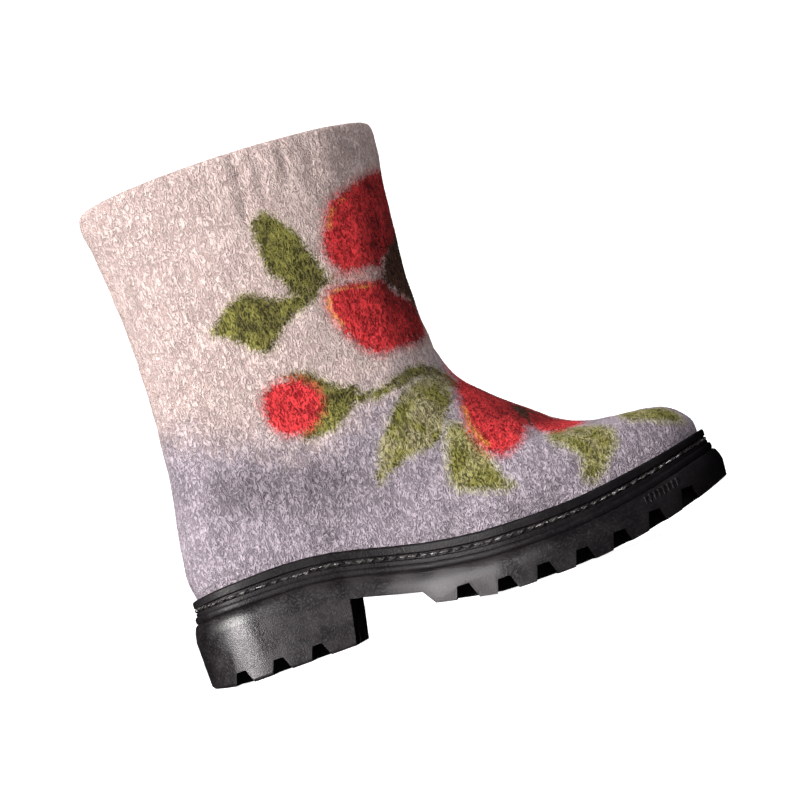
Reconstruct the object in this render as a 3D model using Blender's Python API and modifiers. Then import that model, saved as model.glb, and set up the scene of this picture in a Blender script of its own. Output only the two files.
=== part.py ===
"""Right-foot felt boot on a lugged rubber sole, built as separate pieces.

The felt upper is one seamless shell. Its lower edge stands on a thin midsole, and a rubber rand with a
stitch groove wraps it. Below are the outsole, with its waist and forefoot lugs, and the heel block.
Sizes in the tables are millimetres, with x counted from the back of the heel towards the toe.
The model stands on z = 0 with +X towards the toe, and the outer side of the foot on -Y.
"""

import math

import bmesh
import bpy
from mathutils import Vector

MM = 0.001

# Driving sizes of the boot
SOLE_LENGTH = 283.5
HEEL_BREAST = 80.5
GAP = 0.3
STATIONS = 30

# The sole's outline: half widths to the outer and the inner side of the foot
OUTLINE = (
    # x, outer, inner
    (0.0, 0.0, 0.0),
    (9.0, 24.5, 24.5),
    (32.0, 36.5, 36.5),
    (58.0, 37.5, 35.5),
    (84.0, 36.5, 30.5),
    (108.0, 37.0, 27.5),
    (130.0, 41.0, 32.0),
    (152.0, 46.0, 40.5),
    (176.0, 49.5, 46.0),
    (200.0, 49.0, 47.0),
    (226.0, 45.0, 45.5),
    (248.0, 38.5, 41.0),
    (267.0, 28.5, 32.0),
    (278.4, 16.0, 19.5),
    (283.5, 0.0, 0.0),
)

# Heights along the boot: the midsole's upper face, the rand on it, and the underside of the lugs
LEVELS = (
    # x, midsole top, rand height, lug underside
    (0.0, 39.5, 8.0, 3.2),
    (26.0, 40.3, 9.5, 0.0),
    (60.0, 39.9, 10.5, 0.0),
    (84.0, 37.2, 10.5, 0.0),
    (108.0, 31.3, 10.5, 10.3),
    (130.0, 26.1, 10.5, 5.5),
    (150.0, 23.0, 10.5, 1.7),
    (163.0, 21.8, 10.5, 0.0),
    (190.0, 21.2, 10.5, 0.0),
    (210.0, 22.1, 10.3, 1.0),
    (232.0, 24.9, 10.0, 3.9),
    (252.0, 28.7, 9.3, 8.1),
    (268.0, 32.7, 8.5, 12.5),
    (283.5, 36.6, 8.0, 17.9),
)

# How far each piece's edge lies inside the sole's outline
MIDSOLE_INSET = 3.0
RAND_INSET = 4.4
RAND_THICKNESS = 2.8
FELT_INSET = RAND_INSET + RAND_THICKNESS + GAP
FELT_WALL = 4.5
INSOLE_INSET = FELT_INSET + FELT_WALL + 0.6

MIDSOLE_THICKNESS = 3.0
INSOLE_THICKNESS = 4.0
STITCH_GROOVE_DEPTH = 1.1
STITCH_GROOVE_LOW = 0.22
STITCH_GROOVE_HIGH = 0.56

# The outsole's side: how far below its upper face, and how far inside the outline, each row lies
OUTSOLE_SIDE = (
    # drop, inset
    (0.0, 3.2),
    (1.0, 1.9),
    (4.0, 0.7),
    (7.6, 0.0),
)
WAIST_THICKNESS = 11.0
LUG_FOOT_INSET = 0.9
LUG_DEPTH = 7.4
FOREPART_START = 120.5
FOREPART_LUG_SLANT = 4.6

# The lugs fan out: their pitch is longer along the outer side of the foot than along the inner one
LUG_GAPS = 7
OUTER_GAP_START = 141.0
OUTER_GAP_PITCH = 20.4
INNER_GAP_START = 137.8
INNER_GAP_PITCH = 18.3
GAP_FOOT_WIDTH = 11.4
GAP_ROOF_WIDTH = 6.2
SIDE_LUG_REACH = 17.0
CHANNEL_WIDTH = 5.0
CHANNEL_DEPTH = 6.0
CENTRE_GAP_FOOT = 7.4
CENTRE_GAP_ROOF = 5.0

# The heel block, with three notches on each side
HEEL_SIDE = (
    # share of the height from the top, inset
    (0.0, 0.3),
    (0.45, 0.0),
    (0.93, 0.0),
    (1.0, 1.0),
)
HEEL_BREAST_SLANT = 5.0
HEEL_NOTCHES = (
    # outer x, inner x
    (20.5, 23.5),
    (41.2, 43.2),
    (62.0, 63.0),
)
HEEL_NOTCH_DEPTH = 7.0
HEEL_CHANNEL_START = 17.0
HEEL_CENTRE_NOTCHES = (31.5, 52.0)

# Sections of the felt upper, from just above the rand to the collar. Each is a tilted ring between a
# point on the back of the boot and one on its front. The oval share blends it from the sole's own
# plan, widened by the gain, into an upright oval of the given half width.
UPPER_SECTIONS = (
    # back x, back z, front x, front z, oval share, oval half width, gain
    (6.0, 54.4, 276.5, 49.0, 0.05, 42.0, 1.060),
    (5.9, 62.4, 272.3, 54.7, 0.12, 42.5, 1.055),
    (7.0, 71.4, 266.3, 60.7, 0.19, 43.0, 1.035),
    (8.8, 80.3, 255.8, 63.3, 0.27, 43.5, 1.010),
    (10.4, 88.8, 243.6, 64.4, 0.35, 44.0, 0.990),
    (12.0, 97.3, 230.1, 64.6, 0.44, 44.2, 0.975),
    (13.4, 105.7, 216.2, 70.4, 0.53, 44.4, 0.965),
    (14.7, 114.7, 203.4, 79.9, 0.62, 44.8, 0.960),
    (15.8, 124.2, 191.6, 90.3, 0.71, 45.2, 0.960),
    (16.8, 134.2, 181.1, 99.1, 0.80, 45.8, 0.970),
    (17.7, 144.7, 172.6, 107.7, 0.88, 46.6, 0.980),
    (18.4, 155.7, 167.0, 118.2, 0.94, 47.4, 0.990),
    (19.0, 167.2, 165.0, 131.3, 1.00, 48.2, 1.000),
    (19.2, 181.2, 164.0, 148.3, 1.00, 49.0, 1.000),
    (19.3, 195.2, 164.4, 167.3, 1.00, 50.0, 1.000),
    (18.4, 209.2, 165.6, 186.3, 1.00, 51.4, 1.000),
    (17.1, 222.7, 167.7, 205.2, 1.00, 52.8, 1.000),
    (14.9, 235.3, 169.6, 223.7, 1.00, 54.2, 1.000),
    (13.7, 245.3, 172.5, 239.1, 1.00, 55.2, 1.000),
    (14.1, 253.8, 173.4, 248.5, 1.00, 55.6, 1.000),
)
FELT_EDGE_ROUND = 1.5


def smooth_value(rows, column, x):
    """Reads one column of a table at x, on a smooth curve that keeps to the table's own highs and lows."""
    xs = [row[0] for row in rows]
    ys = [row[column] for row in rows]
    if x <= xs[0]:
        return ys[0]
    if x >= xs[-1]:
        return ys[-1]
    steps = [(ys[i + 1] - ys[i]) / (xs[i + 1] - xs[i]) for i in range(len(xs) - 1)]
    slopes = [steps[0]]
    for before, after in zip(steps, steps[1:]):
        same_way = before * after > 0
        slopes.append(2 * before * after / (before + after) if same_way else 0.0)
    slopes.append(steps[-1])
    i = max(k for k in range(len(steps)) if xs[k] <= x)
    width = xs[i + 1] - xs[i]
    t = (x - xs[i]) / width
    rise = (1 + 2 * t) * (1 - t) ** 2 * ys[i] + t * t * (3 - 2 * t) * ys[i + 1]
    lean = t * (1 - t) ** 2 * slopes[i] - t * t * (1 - t) * slopes[i + 1]
    return rise + width * lean


def turn_angle(x):
    """Where x lies round the outline: 0 at the heel's back and pi at the toe's tip."""
    share = min(1.0, max(0.0, x / SOLE_LENGTH))
    return math.acos(1 - 2 * share)


OUTLINE_BY_ANGLE = tuple((turn_angle(x), outer, inner) for x, outer, inner in OUTLINE)


def outline_ring():
    """The sole's outline as a ring: heel's back, along the outer side to the toe, and back inside."""
    ring = []
    for step in range(2 * STATIONS):
        outer_side = step <= STATIONS
        angle = math.pi * (step if outer_side else 2 * STATIONS - step) / STATIONS
        x = SOLE_LENGTH * (1 - math.cos(angle)) / 2
        half = smooth_value(OUTLINE_BY_ANGLE, 1 if outer_side else 2, angle)
        ring.append(Vector((x, -half if outer_side else half)))
    return ring


def inset_ring(inset):
    """The outline's ring moved inwards, square to itself, by the inset."""
    ring = outline_ring()
    moved = []
    for i, point in enumerate(ring):
        along = ring[(i + 1) % len(ring)] - ring[i - 1]
        inward = Vector((-along.y, along.x)).normalized()
        moved.append(point + inward * inset)
    return moved


def midsole_top(x):
    return smooth_value(LEVELS, 1, x)


def rand_top(x):
    return midsole_top(x) + smooth_value(LEVELS, 2, x)


def outsole_top(x):
    return midsole_top(x) - MIDSOLE_THICKNESS - GAP


def waist_bottom(x):
    return outsole_top(x) - WAIST_THICKNESS


def lug_foot(x):
    return smooth_value(LEVELS, 3, x)


def place(x, y, z):
    """A point of the tables, in metres in the boot's own frame."""
    return Vector(((x - SOLE_LENGTH / 2) * MM, y * MM, z * MM))


def lift(ring, height):
    """A flat ring's points at the height that a function of x gives."""
    return [place(p.x, p.y, height(p.x)) for p in ring]


def loft(rings, capped=True, closed=False):
    """Skins a stack of rings. Caps are ladders of quads from the outer to the inner side."""
    mesh = bmesh.new()
    rows = [[mesh.verts.new(p) for p in ring] for ring in rings]
    count = len(rings[0])
    pairs = list(zip(rows, rows[1:])) + ([(rows[-1], rows[0])] if closed else [])
    for low, high in pairs:
        for i in range(count):
            j = (i + 1) % count
            mesh.faces.new((low[i], low[j], high[j], high[i]))
    if capped:
        for row in (rows[0], rows[-1]):
            for i in range(count // 2):
                corners = [row[i], row[i + 1], row[(count - i - 1) % count], row[(count - i) % count]]
                mesh.faces.new(list(dict.fromkeys(corners)))
    bmesh.ops.recalc_face_normals(mesh, faces=mesh.faces)
    return mesh


def add_object(name, mesh, collection, material=None):
    data = bpy.data.meshes.new(name)
    mesh.to_mesh(data)
    mesh.free()
    thing = bpy.data.objects.new(name, data)
    collection.objects.link(thing)
    if material:
        data.materials.append(material)
    return thing


def add_material(name, colour, roughness):
    material = bpy.data.materials.new(name)
    material.use_nodes = True
    shader = material.node_tree.nodes["Principled BSDF"]
    shader.inputs["Base Color"].default_value = (*colour, 1.0)
    shader.inputs["Roughness"].default_value = roughness
    shader.inputs["Metallic"].default_value = 0.0
    return material


def side_profile_cutter(name, profile, low_y, high_y, cutters):
    """A prism across the boot: its outline is seen from the side, as points of x and z."""
    mesh = bmesh.new()
    face = mesh.faces.new([mesh.verts.new(place(x, low_y, z)) for x, z in profile])
    sweep = bmesh.ops.extrude_face_region(mesh, geom=[face])
    moved = [v for v in sweep["geom"] if isinstance(v, bmesh.types.BMVert)]
    bmesh.ops.translate(mesh, verts=moved, vec=(0, (high_y - low_y) * MM, 0))
    bmesh.ops.recalc_face_normals(mesh, faces=mesh.faces)
    return add_cutter(name, mesh, cutters)


def groove_cutter(name, start, end, roof, foot_width, roof_width, cutters):
    """A straight groove that narrows upwards, from start to end in plan, with its roof at a height."""
    run = Vector(end) - Vector(start)
    below = 8.0
    height = roof + below
    mesh = bmesh.new()
    bmesh.ops.create_cube(mesh, size=1.0)
    spread = (foot_width - roof_width) / (roof - min(lug_foot(start[0]), lug_foot(end[0])))
    for vert in mesh.verts:
        top = vert.co.z > 0
        width = roof_width if top else roof_width + spread * height
        vert.co.x *= width * MM
        vert.co.y *= run.length * MM
        vert.co.z = (roof if top else -below) * MM
    cutter = add_cutter(name, mesh, cutters)
    middle = (Vector(start) + Vector(end)) / 2
    cutter.location = place(middle.x, middle.y, 0)
    cutter.rotation_euler.z = math.atan2(run.y, run.x) - math.pi / 2
    return cutter


def add_cutter(name, mesh, cutters):
    cutter = add_object(name, mesh, cutters)
    cutter.hide_render = True
    cutter.display_type = "WIRE"
    return cutter


def cut(thing, cutter):
    step = thing.modifiers.new(cutter.name, "BOOLEAN")
    step.operation = "DIFFERENCE"
    step.solver = "EXACT"
    step.object = cutter


def between(outer_x, inner_x, y):
    """The x where a fanned line from the outer to the inner edge crosses y."""
    outer_y = -48.0
    inner_y = 45.0
    return outer_x + (inner_x - outer_x) * (y - outer_y) / (inner_y - outer_y)


def build_upper(parts, material):
    """The felt: a vertical hem behind the rand, then the tilted sections up to the collar."""
    plan = inset_ring(FELT_INSET)
    back = min(p.x for p in plan)
    front = max(p.x for p in plan)
    hem_top = 0.6
    rings = [
        lift(plan, lambda x: midsole_top(x) + GAP),
        lift(plan, lambda x: rand_top(x) + hem_top),
    ]
    low_back = rand_top(back)
    low_front = rand_top(front)
    for back_x, back_z, front_x, front_z, oval, half, gain in UPPER_SECTIONS:
        ring = []
        for point in plan:
            share = (point.x - back) / (front - back)
            side = math.copysign(1.0, point.y)
            round_y = side * half * math.sqrt(max(0.0, 1 - (2 * share - 1) ** 2))
            x = back_x + share * (front_x - back_x)
            y = (1 - oval) * gain * point.y + oval * round_y
            dip = rand_top(point.x) - (low_back + share * (low_front - low_back))
            z = back_z + share * (front_z - back_z) + dip * (1 - oval) ** 2
            ring.append(place(x, y, z))
        rings.append(ring)
    shell = add_object("upper", loft(rings, capped=False), parts, material)
    wall = shell.modifiers.new("wall", "SOLIDIFY")
    wall.thickness = FELT_WALL * MM
    wall.offset = -1.0
    wall.use_even_offset = True
    bpy.context.view_layer.update()
    graph = bpy.context.evaluated_depsgraph_get()
    walled = bpy.data.meshes.new_from_object(shell.evaluated_get(graph))
    shell.modifiers.clear()
    shell.data = walled
    round_collar(walled)
    return shell


def round_collar(walled):
    """Rounds the two edges of the collar's rim."""
    mesh = bmesh.new()
    mesh.from_mesh(walled)
    mesh.normal_update()
    above = (UPPER_SECTIONS[-2][3] + 1.0) * MM
    rim = []
    for edge in mesh.edges:
        high = min(v.co.z for v in edge.verts) > above
        if high and edge.calc_face_angle() > math.radians(50):
            rim.append(edge)
    bmesh.ops.bevel(
        mesh, geom=rim, offset=FELT_EDGE_ROUND * MM, segments=2, profile=0.5, affect="EDGES", material=-1
    )
    mesh.to_mesh(walled)
    mesh.free()


def build_rand(parts, material):
    """The rubber strip round the felt's lower edge, with the groove that the seam is sewn in."""
    outer = inset_ring(RAND_INSET)
    lip = inset_ring(RAND_INSET + 0.7)
    groove = inset_ring(RAND_INSET + STITCH_GROOVE_DEPTH)
    inner = inset_ring(RAND_INSET + RAND_THICKNESS)

    def level(share, shift=0.0):
        return lambda x: (
            midsole_top(x) + GAP + share * (rand_top(x) - midsole_top(x) - GAP) + shift
        )

    slope = 0.4
    rings = [
        lift(outer, level(0.0)),
        lift(outer, level(STITCH_GROOVE_LOW)),
        lift(groove, level(STITCH_GROOVE_LOW, slope)),
        lift(groove, level(STITCH_GROOVE_HIGH, -slope)),
        lift(outer, level(STITCH_GROOVE_HIGH)),
        lift(outer, level(0.9)),
        lift(lip, level(1.0)),
        lift(inner, level(1.0)),
        lift(inner, level(0.0)),
    ]
    return add_object("rand", loft(rings, capped=False, closed=True), parts, material)


def build_midsole(parts, material):
    edge = 0.7
    rings = [
        lift(inset_ring(MIDSOLE_INSET + edge), midsole_top),
        lift(inset_ring(MIDSOLE_INSET), lambda x: midsole_top(x) - edge),
        lift(inset_ring(MIDSOLE_INSET), lambda x: midsole_top(x) - MIDSOLE_THICKNESS + edge),
        lift(inset_ring(MIDSOLE_INSET + edge), lambda x: midsole_top(x) - MIDSOLE_THICKNESS),
    ]
    return add_object("midsole", loft(rings), parts, material)


def build_insole(parts, material):
    plan = inset_ring(INSOLE_INSET)
    rings = [
        lift(plan, lambda x: midsole_top(x) + GAP + INSOLE_THICKNESS),
        lift(plan, lambda x: midsole_top(x) + GAP),
    ]
    return add_object("insole", loft(rings), parts, material)


def build_outsole(parts, cutters, material):
    """The sole's body down to the lugs' feet. Cutters then open its waist, its gaps and its channels."""
    rings = []
    for drop, inset in OUTSOLE_SIDE:
        rings.append(lift(inset_ring(inset), lambda x, drop=drop: outsole_top(x) - drop))
    rings.append(lift(inset_ring(LUG_FOOT_INSET), lug_foot))
    outsole = add_object("outsole", loft(rings), parts, material)

    seat = [(x, waist_bottom(x)) for x in range(-4, int(FOREPART_START), 6)]
    seat.append((FOREPART_START, waist_bottom(FOREPART_START)))
    below = -8.0
    slant_x = FOREPART_START + FOREPART_LUG_SLANT
    profile = [(-4.0, below), *seat, (slant_x, lug_foot(slant_x)), (slant_x, below)]
    cut(outsole, side_profile_cutter("waist_cutter", profile, -60, 60, cutters))

    channel_end = between(
        OUTER_GAP_START + (LUG_GAPS - 1) * OUTER_GAP_PITCH,
        INNER_GAP_START + (LUG_GAPS - 1) * INNER_GAP_PITCH,
        0.0,
    )
    for label, side in (("outer", -1), ("inner", 1)):
        roof = [
            (x, lug_foot(x) + CHANNEL_DEPTH)
            for x in (FOREPART_START - 2, 130, 145, 163, 190, 205, 220, 235, channel_end)
        ]
        profile = [(FOREPART_START - 2, below), *roof, (channel_end, below)]
        middle = side * SIDE_LUG_REACH
        low, high = middle - CHANNEL_WIDTH / 2, middle + CHANNEL_WIDTH / 2
        cut(outsole, side_profile_cutter(f"{label}_channel_cutter", profile, low, high, cutters))

    for k in range(LUG_GAPS):
        outer_x = OUTER_GAP_START + k * OUTER_GAP_PITCH
        inner_x = INNER_GAP_START + k * INNER_GAP_PITCH
        for label, side in (("outer", -1), ("inner", 1)):
            reach = side * 60.0
            start = (between(outer_x, inner_x, reach), reach)
            end = (between(outer_x, inner_x, side * SIDE_LUG_REACH), side * SIDE_LUG_REACH)
            edge_x = outer_x if side < 0 else inner_x
            roof = lug_foot(edge_x) + LUG_DEPTH
            name = f"{label}_gap_cutter_{k}"
            cut(outsole, groove_cutter(name, start, end, roof, GAP_FOOT_WIDTH, GAP_ROOF_WIDTH, cutters))
        lug_outer = outer_x - OUTER_GAP_PITCH / 2
        lug_inner = inner_x - INNER_GAP_PITCH / 2
        start = (between(lug_outer, lug_inner, -SIDE_LUG_REACH), -SIDE_LUG_REACH)
        end = (between(lug_outer, lug_inner, SIDE_LUG_REACH), SIDE_LUG_REACH)
        roof = lug_foot(start[0]) + CHANNEL_DEPTH
        name = f"centre_gap_cutter_{k}"
        cut(outsole, groove_cutter(name, start, end, roof, CENTRE_GAP_FOOT, CENTRE_GAP_ROOF, cutters))
    return outsole


def build_heel(parts, cutters, material):
    """The heel block under the seat, cut square across at the breast and notched on both sides."""

    def height(share):
        def at(x):
            top = waist_bottom(min(x, HEEL_BREAST + 12)) - GAP
            foot = lug_foot(min(x, HEEL_BREAST))
            return top + share * (foot - top)

        return at

    rings = [lift(inset_ring(inset), height(share)) for share, inset in HEEL_SIDE]
    heel = add_object("heel", loft(rings), parts, material)
    above = 40.0
    below = -8.0
    slant = HEEL_BREAST_SLANT / waist_bottom(HEEL_BREAST)
    breast = [
        (HEEL_BREAST + slant * below, below),
        (HEEL_BREAST + slant * above, above),
        (SOLE_LENGTH + 10, above),
        (SOLE_LENGTH + 10, below),
    ]
    cut(heel, side_profile_cutter("breast_cutter", breast, -60, 60, cutters))
    for k, (outer_x, inner_x) in enumerate(HEEL_NOTCHES):
        for label, side in (("outer", -1), ("inner", 1)):
            start = (between(outer_x, inner_x, side * 45.0), side * 45.0)
            end = (between(outer_x, inner_x, side * 14.0), side * 14.0)
            name = f"heel_{label}_notch_cutter_{k}"
            notch = groove_cutter(
                name, start, end, HEEL_NOTCH_DEPTH, GAP_FOOT_WIDTH * 0.92, GAP_ROOF_WIDTH * 0.8, cutters
            )
            cut(heel, notch)
    roof = CHANNEL_DEPTH
    for label, side in (("outer", -1), ("inner", 1)):
        profile = [
            (HEEL_CHANNEL_START, below),
            (HEEL_CHANNEL_START, roof),
            (HEEL_BREAST + 10, roof),
            (HEEL_BREAST + 10, below),
        ]
        low, high = side * 14.0 - CHANNEL_WIDTH / 2, side * 14.0 + CHANNEL_WIDTH / 2
        cut(heel, side_profile_cutter(f"heel_{label}_channel_cutter", profile, low, high, cutters))
    for k, x in enumerate(HEEL_CENTRE_NOTCHES):
        name = f"heel_centre_notch_cutter_{k}"
        notch = groove_cutter(
            name, (x, -14.0), (x, 14.0), roof, CENTRE_GAP_FOOT, CENTRE_GAP_ROOF, cutters
        )
        cut(heel, notch)
    return heel


def main():
    for thing in list(bpy.data.objects):
        bpy.data.objects.remove(thing)
    parts = bpy.data.collections.new("felt_boot")
    cutters = bpy.data.collections.new("cutters")
    for collection in (parts, cutters):
        bpy.context.scene.collection.children.link(collection)

    felt = add_material("felt", (0.62, 0.55, 0.56), 0.95)
    insole_felt = add_material("insole_felt", (0.45, 0.42, 0.42), 0.95)
    rubber = add_material("sole_rubber", (0.022, 0.021, 0.023), 0.45)
    rand_rubber = add_material("rand_rubber", (0.03, 0.029, 0.031), 0.5)

    build_upper(parts, felt)
    build_insole(parts, insole_felt)
    build_rand(parts, rand_rubber)
    build_midsole(parts, rand_rubber)
    build_outsole(parts, cutters, rubber)
    build_heel(parts, cutters, rubber)


main()
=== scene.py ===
# %% [markdown]
# # A felt boot with poppies, on a lugged rubber sole
#
# The real boot starts as a thick sock of wool, shrunk and rubbed over a last until it is one seamless
# shell. Flowers of dyed wool are felted into its surface. A rubber rand holds the shell to a moulded sole.
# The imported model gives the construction, and this lesson gives each piece its surface.
#
# Sizes are in millimetres where a name or a comment says so, and in metres everywhere else.

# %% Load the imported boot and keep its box
import math

import bmesh
import bpy
import numpy as np
from mathutils import Matrix, Vector, noise
from mathutils.bvhtree import BVHTree


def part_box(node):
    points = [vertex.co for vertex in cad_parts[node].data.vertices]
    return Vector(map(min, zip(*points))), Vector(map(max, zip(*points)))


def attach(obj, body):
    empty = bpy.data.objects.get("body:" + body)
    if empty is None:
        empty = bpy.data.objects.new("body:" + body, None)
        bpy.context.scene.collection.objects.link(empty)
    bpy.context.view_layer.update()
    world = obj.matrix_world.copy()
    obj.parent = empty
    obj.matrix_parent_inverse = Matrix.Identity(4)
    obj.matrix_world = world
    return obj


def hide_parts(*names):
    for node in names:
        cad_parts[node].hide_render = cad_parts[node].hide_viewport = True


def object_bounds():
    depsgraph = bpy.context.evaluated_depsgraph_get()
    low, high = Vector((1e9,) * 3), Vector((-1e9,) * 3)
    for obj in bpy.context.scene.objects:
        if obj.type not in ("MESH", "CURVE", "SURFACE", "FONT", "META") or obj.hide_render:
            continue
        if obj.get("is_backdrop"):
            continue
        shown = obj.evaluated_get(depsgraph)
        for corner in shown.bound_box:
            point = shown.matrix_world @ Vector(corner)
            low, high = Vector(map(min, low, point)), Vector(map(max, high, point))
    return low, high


MM = 0.001
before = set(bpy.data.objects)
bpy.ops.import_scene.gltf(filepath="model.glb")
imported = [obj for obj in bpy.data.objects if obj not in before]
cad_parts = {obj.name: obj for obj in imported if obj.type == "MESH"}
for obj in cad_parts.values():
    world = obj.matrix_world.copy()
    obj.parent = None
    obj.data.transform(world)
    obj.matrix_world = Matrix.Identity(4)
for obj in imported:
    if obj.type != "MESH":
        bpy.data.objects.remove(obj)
cad_low, cad_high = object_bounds()
print("boot box in mm:", [round((b - a) / MM, 1) for a, b in zip(cad_low, cad_high)])

# %% [markdown]
# ## Tools used by every piece
#
# A finished piece is a mesh at the origin that rides on the boot's one body. The small helpers below add
# such a piece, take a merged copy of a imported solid, and round its hard edges the way a mould or a knife
# leaves them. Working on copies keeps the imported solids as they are, so collisions don't change. Where a
# curve or a modifier makes the shape, its result is kept as a plain mesh.

# %% Helpers for pieces
MERGE_DISTANCE = 0.002
FLAT_BELOW = math.radians(1.0)
HARD_ABOVE = math.radians(32.0)


def in_scene(name, data):
    """A new object in the scene, made of the data."""
    holder = bpy.data.objects.new(name, data)
    bpy.context.scene.collection.objects.link(holder)
    return holder


def mesh_of(name, shape):
    """A bmesh turned into a mesh. The bmesh is used up."""
    mesh = bpy.data.meshes.new(name)
    shape.to_mesh(mesh)
    shape.free()
    return mesh


def evaluated(name, data, modifier=None, **settings):
    """A curve, or a mesh under one modifier, as a new plain mesh."""
    holder = in_scene(name, data)
    if modifier:
        step = holder.modifiers.new("step", modifier)
        for setting, value in settings.items():
            setattr(step, setting, value)
    graph = bpy.context.evaluated_depsgraph_get()
    mesh = bpy.data.meshes.new_from_object(holder.evaluated_get(graph))
    bpy.data.objects.remove(holder)
    return mesh


def add_piece(name, mesh, material, stands_for=()):
    """Turns a bmesh or a finished mesh into a named piece on the boot's body."""
    if isinstance(mesh, bmesh.types.BMesh):
        mesh = mesh_of(name, mesh)
    mesh.name = name
    mesh.materials.clear()
    mesh.materials.append(material)
    piece = in_scene(name, mesh)
    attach(piece, "root")
    if stands_for:
        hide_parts(*stands_for)
    mesh.calc_loop_triangles()
    print(f"{name}: {len(mesh.loop_triangles)} triangles")


def merged_copy(node):
    """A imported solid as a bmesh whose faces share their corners."""
    solid = bmesh.new()
    solid.from_mesh(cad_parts[node].data)
    bmesh.ops.remove_doubles(solid, verts=solid.verts, dist=MERGE_DISTANCE * MM)
    return solid


def round_hard_edges(solid, width):
    """Rounds the edges of a moulded solid by a width in mm, and shades the rest of it smoothly."""
    bmesh.ops.dissolve_limit(solid, angle_limit=FLAT_BELOW, verts=solid.verts, edges=solid.edges)
    hard = [e for e in solid.edges if e.calc_face_angle(0.0) > HARD_ABOVE]
    bmesh.ops.bevel(solid, geom=hard, offset=width * MM, offset_type="OFFSET", segments=2, profile=0.5,
                    affect="EDGES", material=-1, clamp_overlap=True)
    for face in solid.faces:
        face.smooth = True
    for edge in solid.edges:
        edge.smooth = edge.calc_face_angle(0.0) < HARD_ABOVE


# %% [markdown]
# Materials are node graphs, so each is written as a short recipe. These helpers add one shader node with
# its settings, and the few sums and blends that the recipes repeat. Every pattern is noise read at the
# piece's own coordinates, so it keeps its real size and stays on the piece when the piece moves.


# %% Helpers for materials
def shader_node(tree, kind, inputs=None, **settings):
    """Adds a shader node. An input is a number or colour, or another node's output to link."""
    node = tree.nodes.new("ShaderNode" + kind)
    for name, value in settings.items():
        setattr(node, name, value)
    for name, value in (inputs or {}).items():
        socket = node.inputs[name]
        if isinstance(value, bpy.types.NodeSocket):
            tree.links.new(value, socket)
        else:
            socket.default_value = value
    return node


def maths(tree, operation, *values, clamp=False):
    """A sum on numbers or other nodes' outputs."""
    inputs = dict(enumerate(values))
    return shader_node(tree, "Math", inputs, operation=operation, use_clamp=clamp).outputs[0]


def added(tree, first, second, clamp=False):
    return maths(tree, "ADD", first, second, clamp=clamp)


def times(tree, first, second):
    return maths(tree, "MULTIPLY", first, second)


def blend(tree, share, first, second, way="MIX"):
    """Colour that goes from the first to the second with the share."""
    inputs = {0: share, 6: first, 7: second}
    return shader_node(tree, "Mix", inputs, data_type="RGBA", blend_type=way).outputs[2]


def fade(tree, value, low, high, start=0.0, end=1.0):
    """Goes smoothly from start to end while the value goes from low to high."""
    inputs = {"Value": value, "From Min": low, "From Max": high, "To Min": start, "To Max": end}
    return shader_node(tree, "MapRange", inputs, interpolation_type="SMOOTHSTEP").outputs[0]


def own_places(tree, shift=(0.0, 0.0, 0.0), stretch=(1.0, 1.0, 1.0)):
    """The piece's own coordinates, shifted and stretched, so that two patterns needn't line up."""
    spot = shader_node(tree, "TexCoord").outputs["Object"]
    inputs = {"Vector": spot, "Location": shift, "Scale": stretch}
    return shader_node(tree, "Mapping", inputs).outputs[0]


def clouds(tree, size, detail=2.0, swirl=0.0, rough=0.5, **moved):
    """Noise from 0 to 1, with patches of about a size in mm, on coordinates that may be moved."""
    inputs = {"Vector": own_places(tree, **moved), "Scale": 1.0 / (size * MM), "Detail": detail}
    inputs.update({"Distortion": swirl, "Roughness": rough})
    return shader_node(tree, "TexNoise", inputs).outputs["Fac"]


def field(tree, name):
    """A number kept on the mesh's points."""
    return shader_node(tree, "Attribute", attribute_name=name).outputs["Fac"]


def new_material(name, **fixed):
    """A material with its Principled shader, whose fixed sockets are set by number."""
    material = bpy.data.materials.new(name)
    material.use_nodes = True
    tree = material.node_tree
    shader = tree.nodes["Principled BSDF"]
    for socket, value in fixed.items():
        shader.inputs[socket.replace("_", " ")].default_value = value
    return material, tree, shader


def feed(tree, shader, colour, roughness=None, height=None, height_mm=1.0):
    """Links a colour to the shader, and a roughness and a bump of a height in mm where they are given."""
    tree.links.new(colour, shader.inputs["Base Color"])
    if roughness is not None:
        tree.links.new(roughness, shader.inputs["Roughness"])
    if height is not None:
        inputs = {"Height": height, "Distance": height_mm * MM, "Strength": 1.0}
        tree.links.new(shader_node(tree, "Bump", inputs).outputs[0], shader.inputs["Normal"])


# %% [markdown]
# ## Rubber
#
# The sole is moulded black rubber with a fine spark-eroded grain that spreads a highlight into a broad,
# speckled sheen. Two grains are laid over each other: pinpoint bumps for the speckle and a slow cloud in
# the roughness, where hands and floors have polished it. Dust greys the faces a little, and its grey is
# painted stronger at the heel and weaker at the toe as painted light, which falls off towards the toe.

# %% Mix the rubbers
RUBBER_BLACK = (0.006, 0.005, 0.006, 1.0)
RUBBER_DUSTY = (0.032, 0.026, 0.029, 1.0)
# The painted light falloff runs between two places along the boot, in mm, and this share of it is left at
# the toe
FALLOFF_FROM = -10.0
FALLOFF_TO = 90.0
FALLOFF_AT_TOE = 0.25
POLISHED_PATCH = 14.0
SPECK_COARSER = 1.7
SPECK_ROUGHER = 0.14


def light_falloff_to_toe(tree, start, end):
    """Goes from start at the heel to end at the toe, as a painted falloff of the light from the heel's side.
    """
    along = shader_node(tree, "SeparateXYZ", {"Vector": own_places(tree)}).outputs["X"]
    return fade(tree, along, FALLOFF_FROM * MM, FALLOFF_TO * MM, start, end)


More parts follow.
